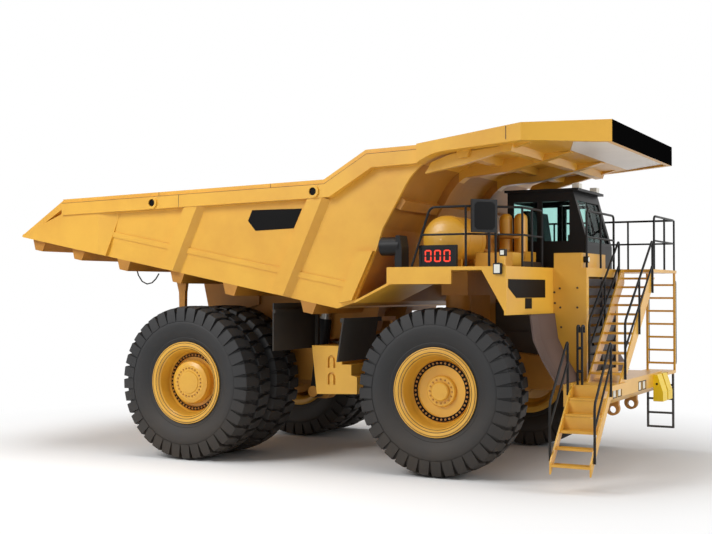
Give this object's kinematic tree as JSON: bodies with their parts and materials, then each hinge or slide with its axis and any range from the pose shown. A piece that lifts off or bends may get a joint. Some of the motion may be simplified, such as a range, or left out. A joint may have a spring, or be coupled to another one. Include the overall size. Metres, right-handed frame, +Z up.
{
  "type": "mining dump truck",
  "caption": "Rigid mining dump truck with a tilting open bed and canopy, two-stage hoists, steered front wheels, twin rear wheels, side cab with a door, decks, stairs and handrails.",
  "frame": {"origin": "centre of the box on the ground", "axes": "+X drives forward, +Y is the driver's left, +Z is up"},
  "size_m": [12.61, 6.64, 6.18],
  "materials": {
    "truck_paint": "satin",
    "frame_paint": "satin",
    "black_paint": "satin",
    "grey_casting": "matte",
    "bare_steel": "brushed",
    "lamp_lens": "gloss",
    "flap_rubber": "matte",
    "bright_paint": "satin",
    "window_glass": "gloss",
    "cab_trim": "matte",
    "tyre_rubber": "matte"
  },
  "bodies": {
    "chassis": {"chassis_frame": "frame_paint", "front_bumper": "truck_paint", "engine_block": "grey_casting", "radiator_guard": "truck_paint", "radiator_grille": "black_paint", "decks": "truck_paint", "cab_shell": "black_paint", "cab_glass": "window_glass", "cab_interior": "cab_trim", "side_tanks": "truck_paint", "front_stairs": "truck_paint", "left_ladder": "truck_paint", "handrails": "black_paint", "mirrors": "black_paint", "payload_display": "black_paint", "exhaust_outlet": "black_paint", "deck_gear": "truck_paint", "wheel_chocks": "bright_paint", "lamps": "lamp_lens", "mud_flaps": "flap_rubber", "rear_axle": "frame_paint", "suspension_struts": "grey_casting", "tow_eyes": "bare_steel"},
    "bed": {"bed_floor": "truck_paint", "bed_side_right": "truck_paint", "bed_side_left": "truck_paint", "bed_front_wall": "frame_paint", "bed_canopy": "truck_paint", "bed_beams": "frame_paint", "bed_bolsters": "frame_paint", "lifting_rings": "truck_paint", "rock_ejectors": "frame_paint"},
    "hoist_barrel": {"hoist_barrels": "black_paint"},
    "hoist_stage": {"hoist_stages": "bare_steel"},
    "hoist_rod": {"hoist_rods": "bare_steel"},
    "steer_right": {"knuckle_right": "grey_casting"},
    "steer_left": {"knuckle_left": "grey_casting"},
    "tie_rod": {"tie_rod": "grey_casting"},
    "wheel_front_right": {"tyre_front_right": "tyre_rubber", "rim_front_right": "truck_paint"},
    "wheel_front_left": {"tyre_front_left": "tyre_rubber", "rim_front_left": "truck_paint"},
    "wheels_rear_right": {"tyres_rear_right": "tyre_rubber", "rims_rear_right": "truck_paint"},
    "wheels_rear_left": {"tyres_rear_left": "tyre_rubber", "rims_rear_left": "truck_paint"},
    "door": {"cab_door": "black_paint", "door_glass": "window_glass"}
  },
  "joints": [
    {"name": "bed_tilt", "type": "hinge", "parent": "chassis", "child": "bed", "pos_m": [-2.645, 0, 2.75], "axis": [0, -1, 0], "range_deg": [0, 45]},
    {"name": "hoist_lean", "type": "hinge", "parent": "chassis", "child": "hoist_barrel", "pos_m": [-0.145, 0, 1.25], "axis": [0, -1, 0], "range_deg": [0, 19.57]},
    {"name": "hoist_first_stage", "type": "slide", "parent": "hoist_barrel", "child": "hoist_stage", "axis": [0.1414, 0, 0.9899], "range_m": [0, 0.9635]},
    {"name": "hoist_second_stage", "type": "slide", "parent": "hoist_stage", "child": "hoist_rod", "axis": [0.1414, 0, 0.9899], "range_m": [0, 0.9635]},
    {"name": "steer_right", "type": "hinge", "parent": "chassis", "child": "steer_right", "pos_m": [3.285, -1.7, 1.495], "axis": [0, 0, 1], "range_deg": [-36, 36]},
    {"name": "steer_left", "type": "hinge", "parent": "chassis", "child": "steer_left", "pos_m": [3.285, 1.7, 1.495], "axis": [0, 0, 1], "range_deg": [-36, 36]},
    {"name": "tie_rod_slide", "type": "slide", "parent": "chassis", "child": "tie_rod", "axis": [0, 1, 0], "range_m": [-0.265, 0.265]},
    {"name": "spin_front_right", "type": "hinge", "parent": "steer_right", "child": "wheel_front_right", "pos_m": [3.285, -2.425, 1.495], "axis": [0, 1, 0], "continuous": true},
    {"name": "spin_front_left", "type": "hinge", "parent": "steer_left", "child": "wheel_front_left", "pos_m": [3.285, 2.425, 1.495], "axis": [0, 1, 0], "continuous": true},
    {"name": "spin_rear_right", "type": "hinge", "parent": "chassis", "child": "wheels_rear_right", "pos_m": [-1.895, -2.1425, 1.495], "axis": [0, 1, 0], "continuous": true},
    {"name": "spin_rear_left", "type": "hinge", "parent": "chassis", "child": "wheels_rear_left", "pos_m": [-1.895, 2.1425, 1.495], "axis": [0, 1, 0], "continuous": true},
    {"name": "door_swing", "type": "hinge", "parent": "chassis", "child": "door", "pos_m": [3.985, 2.274, 4.4], "axis": [0, 0, 1], "range_deg": [0, 85]}
  ],
  "couplings": [
    {"joint": "hoist_lean", "follows": "bed_tilt", "ratio": 0.43467},
    {"joint": "hoist_first_stage", "follows": "bed_tilt", "m_per_rad": 1.2267},
    {"joint": "hoist_second_stage", "follows": "bed_tilt", "m_per_rad": 1.2267},
    {"joint": "steer_left", "follows": "steer_right", "ratio": 1},
    {"joint": "tie_rod_slide", "follows": "steer_right", "m_per_rad": -0.42}
  ]
}
